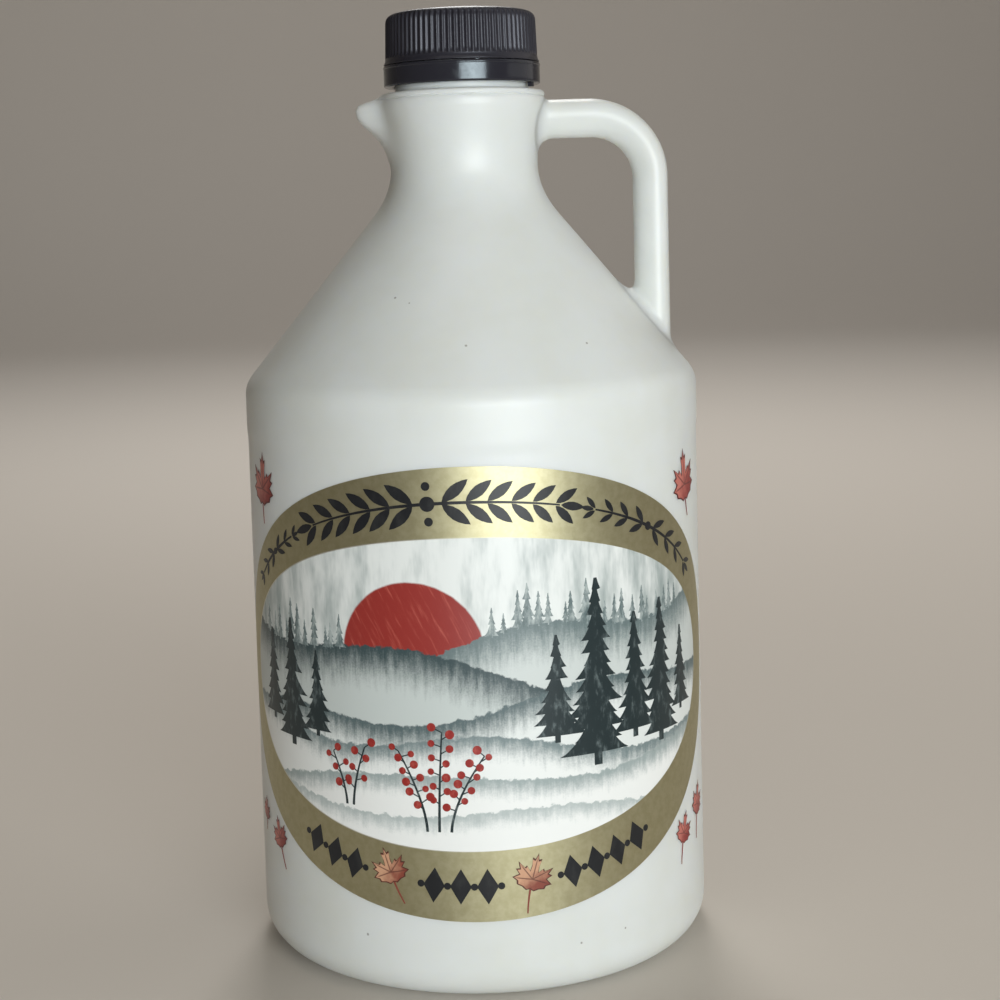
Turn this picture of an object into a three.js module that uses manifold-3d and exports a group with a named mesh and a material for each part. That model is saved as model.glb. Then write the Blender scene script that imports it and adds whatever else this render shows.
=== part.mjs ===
// Half-gallon plastic syrup jug: an off-white blow-moulded jug with a ring handle and a small pouring
// lug, a ribbed black screw cap with its tamper ring, and a wrap-round oval label on the front.
// Millimetres, +Z up. The origin is the centre of the standing ring, +X points to the handle and
// -Y is the front, where the label's middle faces.
import * as THREE from 'three';
import { ParametricGeometry } from 'three/addons/geometries/ParametricGeometry.js';
import { mergeVertices } from 'three/addons/utils/BufferGeometryUtils.js';
import Module from 'manifold-3d';

const wasm = await Module();
wasm.setup();

// Jug body, all as radius and height
const PANEL_R = 60.45; // straight wall that carries the label
const BUMPER_R = 60.7; // slightly proud ring above the label panel
const PANEL_TOP = 135.5;
const BUMPER_LOW = 141;
const BUMPER_TOP = 148.8;
const SHOULDER_Z = 151.4; // where wall and cone would meet without their rounding
const BASE_ROUND = 9.7; // rounding between the wall and the standing ring
const RING_IN_R = 45; // inner edge of the flat standing ring
const PUSH_UP = 3.4; // height of the hollow under the base
const CONE_SLOPE = 0.825; // radius lost for each millimetre of height
const CONE_TOP_R = 25;
const WAIST_R = 19.65;
const WAIST_Z = 208;
const NECK_TOP_R = 22.05; // widest part of the neck, below the collar
const NECK_TOP_Z = 223;
const GROOVE_Z = 225.8; // fine line between the neck and the collar
const GROOVE_R = 21.65;
const COLLAR_R = 22;
const COLLAR_TOP = 227.4;
const STUB_R = 17.9; // mouth of the jug, hidden by the cap
const STUB_TOP = 246;
const BODY_SIDES = 80;

// Handle: a level arm, a quarter bend and an upright limb that lands on the cone
const ARM_Z = 219.7;
const ARM_START_X = 13;
const LIMB_X = 49.75;
const LIMB_END_Z = 153;
const BEND_R = 16;
const HANDLE_HALF_WIDTH = 4.65; // in the plane of the handle
const HANDLE_HALF_DEPTH = 5.7; // towards the front and the back
const ARM_SWELL = 0.5; // the arm is a little thicker than the limb
const ROOT_FLARE = 2.6;
const ROOT_REACH = 4.5;
const HANDLE_SIDES = 24;

// Lug opposite the handle: a short horn that points away from the neck
const LUG_ROOT_X = -14;
const LUG_TIP_X = -28.8;
const LUG_TOP_Z = 226.9;
const LUG_TIP_Z = 222.9;
const LUG_HALF_DEPTH = 6.2;
const LUG_TOP_FALL = 2.4; // drop of the upper side from the neck to the tip
const LUG_UNDER_GAP = 1.6; // from the tip's middle to its underside
const LUG_UNDER_FALL = 11.5; // further drop of the underside at the neck
const LUG_NARROWING = 0.45; // share of its depth lost towards the tip

// Screw cap
const RIB_COUNT = 80;
const RIB_R = 20.2;
const RIB_VALLEY_R = 19.75;
const CAP_TOP = 248.25;
const CAP_EDGE = 2.3;
const RIB_LOW = 236.4;
const SKIRT_LOW = 234.8;
const SKIRT_R = 20.8;
const SKIRT_EASE = 0.3; // height over which the skirt runs into the ribs
const CAP_BORE_R = 18.4;
const CAP_CEILING = 246.4;

// Tamper ring under the cap, with the one tab that shows at its lower edge
const BAND_R = 21;
const BAND_IN_R = 18.4;
const BAND_LOW = 229.1;
const BAND_TOP = 234.45;
const BAND_LIP = 0.6;
const TAB_ANGLE = 23.5; // degrees from +X towards the front
const TAB_WIDTH = 1.6;
const TAB_DEPTH = 1.1;
const TAB_INSET = 1.3; // from the ring's inner face to the tab's middle
const TAB_DROP = 1.1;

// Label: an oval on the unrolled wall, a thin film that stands just off the wall
const LABEL_HALF_ANGLE = 78.8; // degrees each side of its middle
const LABEL_TURN = -1.3; // degrees, the middle lies slightly towards the lug
const LABEL_HALF_HEIGHT = 56.5;
const LABEL_Z = 78;
const LABEL_POWER = 2.03; // 2 would be a true ellipse
const LABEL_IN_R = PANEL_R + 0.35;
const LABEL_THICK = 0.25;

const rad = THREE.MathUtils.degToRad;

/** A closed geometry as a solid: vertices merged, collapsed triangles dropped, faces outwards. */
function solid(geometry) {
  const bare = geometry.clone();
  for (const name of Object.keys(bare.attributes)) if (name !== 'position') bare.deleteAttribute(name);
  const merged = mergeVertices(bare, 1e-4);
  const corners = [...merged.index.array];
  const triangles = [];
  for (let i = 0; i < corners.length; i += 3) {
    const [a, b, c] = corners.slice(i, i + 3);
    if (a !== b && b !== c && c !== a) triangles.push(a, b, c);
  }
  const build = (triVerts) =>
    new wasm.Manifold(
      new wasm.Mesh({
        numProp: 3,
        vertProperties: Float32Array.from(merged.attributes.position.array),
        triVerts: Uint32Array.from(triVerts),
      }),
    );
  const made = build(triangles);
  return made.volume() > 0 ? made : build(triangles.reverse());
}

/** A solid as a named mesh with its material. */
function piece(name, body, material) {
  const { vertProperties, triVerts } = body.getMesh();
  const geometry = new THREE.BufferGeometry();
  geometry.setAttribute('position', new THREE.BufferAttribute(vertProperties, 3));
  geometry.setIndex(new THREE.BufferAttribute(triVerts, 1));
  geometry.computeVertexNormals();
  const mesh = new THREE.Mesh(geometry, material);
  mesh.name = name;
  return mesh;
}

/** A profile of radius and height turned about the upright axis. */
function turned(profile, steps, sides) {
  const geometry = new THREE.LatheGeometry(profile.getPoints(steps), sides);
  return solid(geometry.rotateX(Math.PI / 2));
}

/** An outline in plan, raised from one height to another. */
function raised(outline, low, high) {
  const geometry = new THREE.ExtrudeGeometry(outline, { depth: high - low, bevelEnabled: false });
  return solid(geometry.translate(0, 0, low));
}

/** Radius of the cone at a height. */
const coneRadius = (z) => BUMPER_R - CONE_SLOPE * (z - SHOULDER_Z);

/** Height at which the cone has a radius. */
const coneHeight = (r) => SHOULDER_Z + (BUMPER_R - r) / CONE_SLOPE;

/** The jug without its handle: hollow under the base, wall, shoulder, cone, neck, collar and mouth. */
function jugBody() {
  const shoulderEnd = SHOULDER_Z + 2.1;
  const profile = new THREE.Path();
  profile.moveTo(0, PUSH_UP);
  profile.quadraticCurveTo(RING_IN_R - 6, PUSH_UP, RING_IN_R, 0);
  profile.lineTo(PANEL_R - BASE_ROUND, 0);
  profile.absarc(PANEL_R - BASE_ROUND, BASE_ROUND, BASE_ROUND, -Math.PI / 2, 0, false);
  profile.lineTo(PANEL_R, PANEL_TOP);
  profile.lineTo(BUMPER_R, BUMPER_LOW);
  profile.lineTo(BUMPER_R, BUMPER_TOP);
  profile.quadraticCurveTo(BUMPER_R, SHOULDER_Z, coneRadius(shoulderEnd), shoulderEnd);
  profile.lineTo(CONE_TOP_R, coneHeight(CONE_TOP_R));
  profile.quadraticCurveTo(WAIST_R, coneHeight(WAIST_R), WAIST_R, WAIST_Z);
  profile.bezierCurveTo(WAIST_R, WAIST_Z + 6, NECK_TOP_R - 1, NECK_TOP_Z - 5, NECK_TOP_R, NECK_TOP_Z);
  profile.quadraticCurveTo(NECK_TOP_R + 0.35, GROOVE_Z - 0.4, GROOVE_R, GROOVE_Z);
  profile.lineTo(COLLAR_R, GROOVE_Z + 0.4);
  profile.quadraticCurveTo(COLLAR_R, COLLAR_TOP, COLLAR_R - 1, COLLAR_TOP);
  profile.lineTo(STUB_R, COLLAR_TOP);
  profile.lineTo(STUB_R, STUB_TOP);
  profile.lineTo(0, STUB_TOP);
  return turned(profile, 4, BODY_SIDES);
}

/** The handle's middle line, from inside the neck round the bend and down into the cone. */
function handlePath() {
  const path = new THREE.CurvePath();
  const bendX = LIMB_X - BEND_R;
  const bendZ = ARM_Z - BEND_R;
  const point = (x, z) => new THREE.Vector3(x, 0, z);
  const knuckle = BEND_R * 0.5523; // control length that makes a cubic curve a quarter circle
  path.add(new THREE.LineCurve3(point(ARM_START_X, ARM_Z), point(bendX, ARM_Z)));
  path.add(
    new THREE.CubicBezierCurve3(
      point(bendX, ARM_Z),
      point(bendX + knuckle, ARM_Z),
      point(LIMB_X, bendZ + knuckle),
      point(LIMB_X, bendZ),
    ),
  );
  path.add(new THREE.LineCurve3(point(LIMB_X, bendZ), point(LIMB_X, LIMB_END_Z)));
  return path;
}

/** The handle as rings of an oval section along its middle line, wider where it meets the jug. */
function handle() {
  const path = handlePath();
  const length = path.getLength();
  const neckStart = WAIST_R - ARM_START_X;
  const coneStart = coneHeight(LIMB_X) - LIMB_END_Z;
  const rings = 46;
  const bulge = (gap) => Math.max(0, 1 - Math.max(0, gap) / ROOT_REACH) ** 2;
  const surface = (u, v, target) => {
    const along = THREE.MathUtils.clamp(v * 1.04 - 0.02, 0, 1);
    const middle = path.getPointAt(along);
    const tangent = path.getTangentAt(along);
    const open = v > 0 && v < 1 ? 1 : 0;
    const travelled = along * length;
    const swell = ARM_SWELL * (1 - THREE.MathUtils.smoothstep(middle.x, 20, LIMB_X));
    const root = ROOT_FLARE * (bulge(travelled - neckStart) + 0.2 * bulge(length - travelled - coneStart));
    const wide = open * (HANDLE_HALF_WIDTH + swell + root) * Math.cos(2 * Math.PI * u);
    const deep = open * (HANDLE_HALF_DEPTH + root) * Math.sin(2 * Math.PI * u);
    target.set(middle.x - tangent.z * wide, deep, middle.z + tangent.x * wide);
  };
  return solid(new ParametricGeometry(surface, HANDLE_SIDES, rings));
}

/** The lug: oval sections that shrink to a round tip, nearly level on top and hollow-curved below. */
function lug() {
  const surface = (u, v, target) => {
    const reach = THREE.MathUtils.clamp(v * 1.1, 0, 1);
    const open = v > 0 ? 1 : 0;
    const tip = Math.sqrt(Math.max(0, 1 - reach ** 6));
    const top = LUG_TOP_Z - LUG_TOP_FALL * reach ** 2;
    const bottom = LUG_TIP_Z - LUG_UNDER_GAP - LUG_UNDER_FALL * (1 - reach) ** 1.6;
    const middle = THREE.MathUtils.lerp(LUG_TIP_Z, (top + bottom) / 2, tip);
    const high = (open * tip * (top - bottom)) / 2;
    const deep = open * tip * LUG_HALF_DEPTH * (1 - LUG_NARROWING * reach);
    target.set(
      THREE.MathUtils.lerp(LUG_ROOT_X, LUG_TIP_X, Math.sin((reach * Math.PI) / 2)),
      deep * Math.sin(2 * Math.PI * u),
      middle + high * Math.cos(2 * Math.PI * u),
    );
  };
  return solid(new ParametricGeometry(surface, 20, 14));
}

/** The cap: a ribbed cup with a rounded top edge over a plain flared skirt. */
function screwCap() {
  const outline = new THREE.Shape();
  const corner = (index, radius) => {
    const angle = (index * Math.PI) / RIB_COUNT;
    return new THREE.Vector2(radius * Math.cos(angle), radius * Math.sin(angle));
  };
  const rim = [];
  for (let i = 0; i < 2 * RIB_COUNT; i += 1) rim.push(corner(i, i % 2 ? RIB_VALLEY_R : RIB_R));
  outline.setFromPoints(rim);
  const ribbed = raised(outline, RIB_LOW, CAP_TOP);

  const envelope = new THREE.Path();
  envelope.moveTo(0, RIB_LOW - 1);
  envelope.lineTo(RIB_R + 1, RIB_LOW - 1);
  envelope.lineTo(RIB_R + 1, CAP_TOP - CAP_EDGE - 1);
  envelope.quadraticCurveTo(RIB_R + 0.2, CAP_TOP - 0.4, RIB_R - CAP_EDGE, CAP_TOP);
  envelope.lineTo(0, CAP_TOP);

  const skirt = new THREE.Path();
  skirt.moveTo(0, SKIRT_LOW);
  skirt.lineTo(SKIRT_R, SKIRT_LOW);
  skirt.lineTo(RIB_R, RIB_LOW - SKIRT_EASE);
  skirt.lineTo(RIB_VALLEY_R, RIB_LOW + SKIRT_EASE);
  skirt.lineTo(0, RIB_LOW + SKIRT_EASE);

  const bore = new THREE.Path();
  bore.moveTo(0, SKIRT_LOW - 1);
  bore.lineTo(CAP_BORE_R, SKIRT_LOW - 1);
  bore.lineTo(CAP_BORE_R, CAP_CEILING);
  bore.lineTo(0, CAP_CEILING);

  const shell = ribbed.intersect(turned(envelope, 4, RIB_COUNT)).add(turned(skirt, 1, RIB_COUNT));
  return shell.subtract(turned(bore, 1, RIB_COUNT / 2));
}

/** The tamper ring: a plain band with a small lip on top and one tab below its edge. */
function tamperRing() {
  const section = new THREE.Path();
  section.moveTo(BAND_IN_R, BAND_LOW);
  section.lineTo(BAND_R - 0.3, BAND_LOW);
  section.lineTo(BAND_R - 0.1, BAND_LOW + 0.4);
  section.lineTo(BAND_R - 0.1, BAND_TOP - BAND_LIP - 0.2);
  section.lineTo(BAND_R, BAND_TOP - BAND_LIP);
  section.lineTo(BAND_R, BAND_TOP - 0.2);
  section.lineTo(BAND_R - 0.2, BAND_TOP);
  section.lineTo(BAND_IN_R, BAND_TOP);
  section.lineTo(BAND_IN_R, BAND_LOW);
  const tab = new THREE.BoxGeometry(TAB_DEPTH, TAB_WIDTH, 2 * TAB_DROP);
  tab.translate(BAND_IN_R + TAB_INSET, 0, BAND_LOW);
  tab.rotateZ(-rad(TAB_ANGLE));
  return turned(section, 1, RIB_COUNT).add(solid(tab));
}

/** The label: the oval's height at each angle, as a film with an outer and an inner face. */
function labelFilm() {
  const columns = 60;
  const surface = (u, v, target) => {
    const across = Math.sin((v - 0.5) * Math.PI);
    const height = LABEL_HALF_HEIGHT * Math.max(0, 1 - Math.abs(across) ** LABEL_POWER) ** (1 / LABEL_POWER);
    const side = Math.round(u * 4) % 4;
    const radius = side < 2 ? LABEL_IN_R + LABEL_THICK : LABEL_IN_R;
    const up = side === 1 || side === 2 ? 1 : -1;
    const angle = rad(LABEL_TURN + LABEL_HALF_ANGLE * across);
    target.set(radius * Math.sin(angle), -radius * Math.cos(angle), LABEL_Z + up * height);
  };
  return solid(new ParametricGeometry(surface, 4, columns));
}

const plastic = (color, roughness) => new THREE.MeshStandardMaterial({ color, roughness, metalness: 0 });
const milkWhite = plastic(0xd9dad3, 0.42);
const capBlack = plastic(0x17181c, 0.35);
const ringBlack = plastic(0x17181c, 0.25);
const goldPrint = new THREE.MeshStandardMaterial({ color: 0xb5ad84, roughness: 0.45, metalness: 0.35 });

const jug = new THREE.Group();
jug.add(piece('jug', jugBody().add(handle()).add(lug()), milkWhite));
jug.add(piece('screw_cap', screwCap(), capBlack));
jug.add(piece('tamper_ring', tamperRing(), ringBlack));
jug.add(piece('label', labelFilm(), goldPrint));

export default jug;
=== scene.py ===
"""Looks of a half-gallon plastic syrup jug: satin off-white plastic, ribbed black cap, printed oval label."""
import logging
import math
from dataclasses import dataclass, field
from enum import Enum
from typing import Any, Callable, Sequence

import bpy
import numpy as np
from mathutils import Matrix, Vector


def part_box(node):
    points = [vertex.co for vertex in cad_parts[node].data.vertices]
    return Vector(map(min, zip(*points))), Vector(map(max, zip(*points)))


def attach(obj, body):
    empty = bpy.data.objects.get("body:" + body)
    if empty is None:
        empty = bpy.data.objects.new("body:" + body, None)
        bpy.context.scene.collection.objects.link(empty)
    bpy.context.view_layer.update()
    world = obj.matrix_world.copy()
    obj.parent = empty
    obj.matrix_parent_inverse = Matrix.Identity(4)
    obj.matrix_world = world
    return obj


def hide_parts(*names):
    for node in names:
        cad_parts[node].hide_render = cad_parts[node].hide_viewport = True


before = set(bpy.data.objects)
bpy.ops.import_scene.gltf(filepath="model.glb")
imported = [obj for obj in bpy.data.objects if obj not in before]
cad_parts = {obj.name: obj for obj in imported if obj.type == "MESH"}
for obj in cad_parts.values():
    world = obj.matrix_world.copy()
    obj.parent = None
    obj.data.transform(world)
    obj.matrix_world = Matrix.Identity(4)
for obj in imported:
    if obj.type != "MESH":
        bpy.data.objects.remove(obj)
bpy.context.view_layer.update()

MM = 0.001
TINY = 1e-6
BODY = "root"
LOG = logging.getLogger("jug")

Points = np.ndarray
Faces = np.ndarray


# Shader maths

def _operator(operation: str, swapped: bool = False) -> Callable[["Wire", Any], "Wire"]:
    """An arithmetic operator of wires, with the wire second where it is swapped."""
    def act(self: "Wire", other: Any) -> "Wire":
        """The Math node's result."""
        return self.maths(operation, *((other, self) if swapped else (self, other)))

    return act


class Wire:
    """One output of a shader node. Arithmetic on it adds Math nodes."""

    __add__, __radd__ = _operator("ADD"), _operator("ADD", True)
    __sub__, __rsub__ = _operator("SUBTRACT"), _operator("SUBTRACT", True)
    __mul__, __rmul__ = _operator("MULTIPLY"), _operator("MULTIPLY", True)
    __truediv__, __pow__ = _operator("DIVIDE"), _operator("POWER")
    most, least = _operator("MAXIMUM"), _operator("MINIMUM")

    def __init__(self, bench: "Bench", socket: bpy.types.NodeSocket) -> None:
        """Keeps the bench that holds the tree and the output socket."""
        self.bench = bench
        self.socket = socket

    def maths(self, operation: str, *values: Any) -> "Wire":
        """One Math node of numbers or wires, in the order of its inputs."""
        return self.bench.node("ShaderNodeMath", {"operation": operation}, dict(enumerate(values)))

    def __abs__(self) -> "Wire":
        """Size without its sign."""
        return self.maths("ABSOLUTE", self)

    def sine(self) -> "Wire":
        """Sine, in radians."""
        return self.maths("SINE", self)

    def step(self, low: float, high: float) -> "Wire":
        """Smooth step: 0 at low and 1 at high, or the other way round when low is above high."""
        down = low > high
        sockets = {0: self, 1: min(low, high), 2: max(low, high), 3: float(down), 4: float(not down)}
        return self.bench.node("ShaderNodeMapRange", {"interpolation_type": "SMOOTHSTEP"}, sockets)


class Bench:
    """A material under construction: its tree, its shader and the nodes that feed it."""

    def __init__(self, name: str) -> None:
        """Starts a material with only a Principled shader and its output."""
        self.material = bpy.data.materials.new(name)
        self.material.use_nodes = True
        self.tree = self.material.node_tree
        self.tree.nodes.clear()
        output = self.tree.nodes.new("ShaderNodeOutputMaterial")
        self.shader = self.tree.nodes.new("ShaderNodeBsdfPrincipled")
        self.tree.links.new(self.shader.outputs[0], output.inputs[0])

    def node(self, kind: str, settings: dict[str, Any], sockets: dict[Any, Any], output: Any = 0) -> Wire:
        """Adds one node.

        Args:
            kind: the node's type.
            settings: its properties, set first.
            sockets: values or wires for its inputs, by name or number.
            output: name or number of the output that is returned.

        Returns:
            That output as a wire.
        """
        made = self.tree.nodes.new(kind)
        for key, value in settings.items():
            setattr(made, key, value)
        for key, value in sockets.items():
            self._feed(made.inputs[key], value)
        return Wire(self, made.outputs[output])

    def _feed(self, socket: bpy.types.NodeSocket, value: Any) -> None:
        """Links a wire to a socket or sets the socket to a plain value."""
        if isinstance(value, Wire):
            self.tree.links.new(value.socket, socket)
        elif isinstance(value, (tuple, list)) and socket.type == "RGBA":
            socket.default_value = (*value[:3], 1.0)
        else:
            socket.default_value = value

    def set(self, **values: Any) -> None:
        """Sets or links the shader's sockets; an underscore in a name stands for a space."""
        for key, value in values.items():
            self._feed(self.shader.inputs[key.replace("_", " ")], value)

    def place(self) -> Wire:
        """Object coordinates, in metres."""
        return self.node("ShaderNodeTexCoord", {}, {}, "Object")

    def sheet(self, name: str) -> tuple[Wire, Wire]:
        """The two numbers of a piece's own UV map."""
        vector = self.node("ShaderNodeUVMap", {"uv_map": name}, {})
        return self.split(vector)[:2]

    def split(self, vector: Wire) -> tuple[Wire, Wire, Wire]:
        """The three parts of a vector."""
        first = self.node("ShaderNodeSeparateXYZ", {}, {0: vector}, 0)
        outputs = first.socket.node.outputs
        return first, Wire(self, outputs[1]), Wire(self, outputs[2])

    def join(self, x: Any, y: Any, z: Any = 0.0) -> Wire:
        """A vector from three numbers."""
        return self.node("ShaderNodeCombineXYZ", {}, {0: x, 1: y, 2: z})

    def stretch(self, vector: Wire, scale: tuple[float, float, float]) -> Wire:
        """A vector with each part multiplied."""
        return self.node("ShaderNodeVectorMath", {"operation": "MULTIPLY"}, {0: vector, 1: scale})

    def noise(self, vector: Wire, scale: float, detail: float = 2.0, rough: float = 0.5) -> Wire:
        """Noise from 0 to 1."""
        sockets = {"Vector": vector, "Scale": scale, "Detail": detail, "Roughness": rough}
        return self.node("ShaderNodeTexNoise", {"noise_dimensions": "3D"}, sockets)

    def blend(self, factor: Any, first: Any, second: Any) -> Wire:
        """A colour between two colours, first where the factor is 0."""
        return self.node("ShaderNodeMix", {"data_type": "RGBA"}, {0: factor, 6: first, 7: second}, 2)

    def bump(self, height: Wire, strength: float, distance: float) -> Wire:
        """A normal from a height."""
        return self.node("ShaderNodeBump", {}, {"Strength": strength, "Distance": distance, "Height": height})


def srgb(red: int, green: int, blue: int) -> tuple[float, float, float]:
    """A screen colour of 0 to 255 as linear light."""
    return tuple(((value / 255 + 0.055) / 1.055) ** 2.4 for value in (red, green, blue))


# Mesh making

def ring_grid(rows: int, columns: int, wrap: bool = True) -> Faces:
    """Quads of a grid whose points are numbered row by row.

    Args:
        rows: number of rows of points.
        columns: number of points in each row.
        wrap: whether the last column joins the first.

    Returns:
        Four point numbers for each quad.
    """
    row = np.arange(rows - 1)[:, None] * columns
    across = np.arange(columns if wrap else columns - 1)
    after = (across + 1) % columns
    quads = np.stack([row + across, row + after, row + columns + after, row + columns + across], -1)
    return quads.reshape(-1, 4)


@dataclass
class Stock:
    """Points and faces of one piece, gathered part by part."""

    points: list[Points] = field(default_factory=list)
    faces: list[list[int]] = field(default_factory=list)
    sheets: dict[str, list[np.ndarray]] = field(default_factory=dict)
    count: int = 0

    def add(self, points: Points, faces: Sequence[Faces], **sheets: np.ndarray) -> None:
        """Adds a part.

        Args:
            points: its points in metres.
            faces: arrays of point numbers, each with three or four columns.
            sheets: UV values of each point, by map name.
        """
        for group in faces:
            self.faces.extend((group + self.count).tolist())
        self.points.append(points)
        self.count += len(points)
        for name, values in sheets.items():
            self.sheets.setdefault(name, []).append(values)

    def build(self, name: str, material: bpy.types.Material, sharp: float = 40.0) -> bpy.types.Object:
        """Makes the object.

        Args:
            name: the piece's name.
            material: its finish.
            sharp: edges that turn more than this many degrees stay sharp.

        Returns:
            The new object, at the origin.
        """
        mesh = bpy.data.meshes.new(name)
        mesh.from_pydata(np.concatenate(self.points).tolist(), [], self.faces)
        mesh.validate()
        mesh.polygons.foreach_set("use_smooth", np.ones(len(mesh.polygons), dtype=bool))
        mesh.set_sharp_from_angle(angle=math.radians(sharp))
        if self.sheets:
            corner = np.empty(len(mesh.loops), dtype=np.int32)
            mesh.loops.foreach_get("vertex_index", corner)
        for title, values in self.sheets.items():
            layer = mesh.uv_layers.new(name=title)
            layer.data.foreach_set("uv", np.concatenate(values)[corner].astype(np.float32).ravel())
        mesh.update()
        made = bpy.data.objects.new(name, mesh)
        made.data.materials.append(material)
        bpy.context.scene.collection.objects.link(made)
        return made


def points_of(*parts: Any) -> Points:
    """Points from their coordinates, each a number or an array that is spread over the others' rows."""
    return np.stack(np.broadcast_arrays(*parts), -1)


class Pen:
    """A profile drawn stretch by stretch, each from where the last one ended."""

    def __init__(self, *start: float) -> None:
        """Starts at a radius and a height."""
        self.end: Sequence[float] = start
        self.rows: list[Points] = []

    def to(self, count: int, *controls: Sequence[float]) -> None:
        """Adds a straight stretch or a Bezier curve: controls weighted by the binomial terms of t and 1 - t.

        Args:
            count: number of points on it, without its end.
            controls: one point for a straight stretch, two or three for a curve. The last is its end.
        """
        t = np.linspace(0, 1, count, endpoint=False)[:, None]
        degree = len(controls)
        weights = [math.comb(degree, k) * t**k * (1 - t) ** (degree - k) for k in range(degree + 1)]
        pulls = zip(weights, (self.end, *controls))
        self.rows.append(sum(weight * np.array(control, float) for weight, control in pulls))
        self.end = controls[-1]

    def arc(self, count: int, centre: Sequence[float], radius: float, start: float, end: float) -> None:
        """Adds a circular arc: centre + radius (cos a, sin a).

        Args:
            count: number of points on it, without its end.
            centre: its centre.
            radius: its radius.
            start: angle in degrees where it starts, which is where the pen stands.
            end: angle in degrees where it ends.
        """
        angle = np.radians(np.linspace(start, end, count + 1))
        row = points_of(centre[0] + radius * np.cos(angle), centre[1] + radius * np.sin(angle))
        self.rows.append(row[:-1])
        self.end = row[-1]

    def points(self, closed: bool = False) -> Points:
        """All the points, with the last end unless the profile is closed."""
        return np.concatenate(self.rows if closed else [*self.rows, [self.end]])


def lathe(profile: Points, angles: np.ndarray, radial: Any = 0.0) -> tuple[Points, list[Faces]]:
    """A profile turned about Z: x = r cos a, y = r sin a, with a pole where the profile ends on the axis.

    Args:
        profile: radius and height in millimetres, from one end on the axis to the other, or closed.
        angles: angles in radians, once round.
        radial: added radius in millimetres for each profile point and angle.

    Returns:
        Points in metres and the faces.
    """
    pole_low, pole_high = profile[0, 0] < TINY, profile[-1, 0] < TINY
    off_axis = slice(int(pole_low), len(profile) - int(pole_high))
    inner = profile[off_axis]
    radius = (profile[:, :1] + radial + 0 * angles)[off_axis]
    rows, columns = len(inner), len(angles)
    points = points_of(radius * np.cos(angles), radius * np.sin(angles), inner[:, 1:]).reshape(-1, 3)
    faces = [ring_grid(rows, columns)]
    around = np.arange(columns)
    after = (around + 1) % columns
    extra = []
    if pole_low:
        extra.append([0, 0, profile[0, 1]])
        faces.append(np.stack([np.full(columns, len(points)), after, around], 1))
    if pole_high:
        extra.append([0, 0, profile[-1, 1]])
        top = (rows - 1) * columns
        faces.append(np.stack([np.full(columns, len(points) + len(extra) - 1), top + around, top + after], 1))
    if not pole_low and not pole_high:
        last = (rows - 1) * columns
        faces.append(np.stack([last + around, last + after, after, around], 1))
    return np.concatenate([points, np.array(extra).reshape(-1, 3)]) * MM, faces


# Finishes

@dataclass(frozen=True)
class Speck:
    """One fleck of dirt on the jug: its angle from the front in degrees, height and size in millimetres."""

    turn: float
    height: float
    size: float


@dataclass(frozen=True)
class MilkPlastic:
    """Blow-moulded off-white plastic: a soft satin skin, faint clouding and a few specks."""

    colour: tuple[float, float, float] = srgb(225, 228, 226)
    cloud: tuple[float, float, float] = srgb(218, 220, 213)
    dirt: tuple[float, float, float] = srgb(96, 84, 70)
    roughness: float = 0.40

    def material(self, specks: Sequence[tuple[Speck, float]]) -> bpy.types.Material:
        """Builds the finish.

        Args:
            specks: each speck with the jug's radius where it lies.

        Returns:
            The material.
        """
        bench = Bench("milk plastic")
        place = bench.place()
        clouding = bench.noise(place, 38.0, 3.0, 0.55).step(0.35, 0.75)
        colour = bench.blend(clouding * 0.7, self.colour, self.cloud)
        ragged = bench.noise(place, 2200.0, 2.0)
        for speck, radius in specks:
            angle = math.radians(speck.turn)
            spot = (radius * math.sin(angle) * MM, -radius * math.cos(angle) * MM, speck.height * MM)
            size = speck.size * MM
            gap = bench.node("ShaderNodeVectorMath", {"operation": "DISTANCE"}, {0: place, 1: spot}, "Value")
            mark = (gap + (ragged - 0.5) * (0.6 * size)).step(size, size * 0.45)
            colour = bench.blend(mark * 0.6, colour, self.dirt)
        skin = bench.noise(place, 900.0, 3.0, 0.6)
        bench.set(Base_Color=colour, Roughness=self.roughness + (skin - 0.5) * 0.12)
        bench.set(IOR=1.5, Subsurface_Weight=0.35, Subsurface_Scale=0.006, Subsurface_Radius=(1.0, 0.9, 0.7))
        bench.set(Normal=bench.bump(skin, 0.12, 0.00012))
        return bench.material


@dataclass(frozen=True)
class BlackPlastic:
    """Moulded black plastic: near black, with faint scuffs that dull the shine."""

    title: str
    colour: tuple[float, float, float] = srgb(43, 42, 49)
    scuff: tuple[float, float, float] = srgb(56, 57, 63)
    roughness: float = 0.33
    sheen: tuple[float, float, float] = (0.90, 0.92, 1.0)

    def material(self) -> bpy.types.Material:
        """Builds the finish."""
        bench = Bench(self.title)
        place = bench.place()
        worn = bench.noise(place, 260.0, 4.0, 0.6).step(0.5, 0.8)
        grain = bench.noise(bench.stretch(place, (1.0, 1.0, 0.25)), 1600.0, 2.0)
        bench.set(Base_Color=bench.blend(worn * 0.6, self.colour, self.scuff))
        bench.set(Roughness=self.roughness + worn * 0.12 + (grain - 0.5) * 0.08, IOR=1.5)
        bench.set(Specular_Tint=self.sheen)
        bench.set(Normal=bench.bump(grain, 0.08, 0.00008))
        return bench.material


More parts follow.
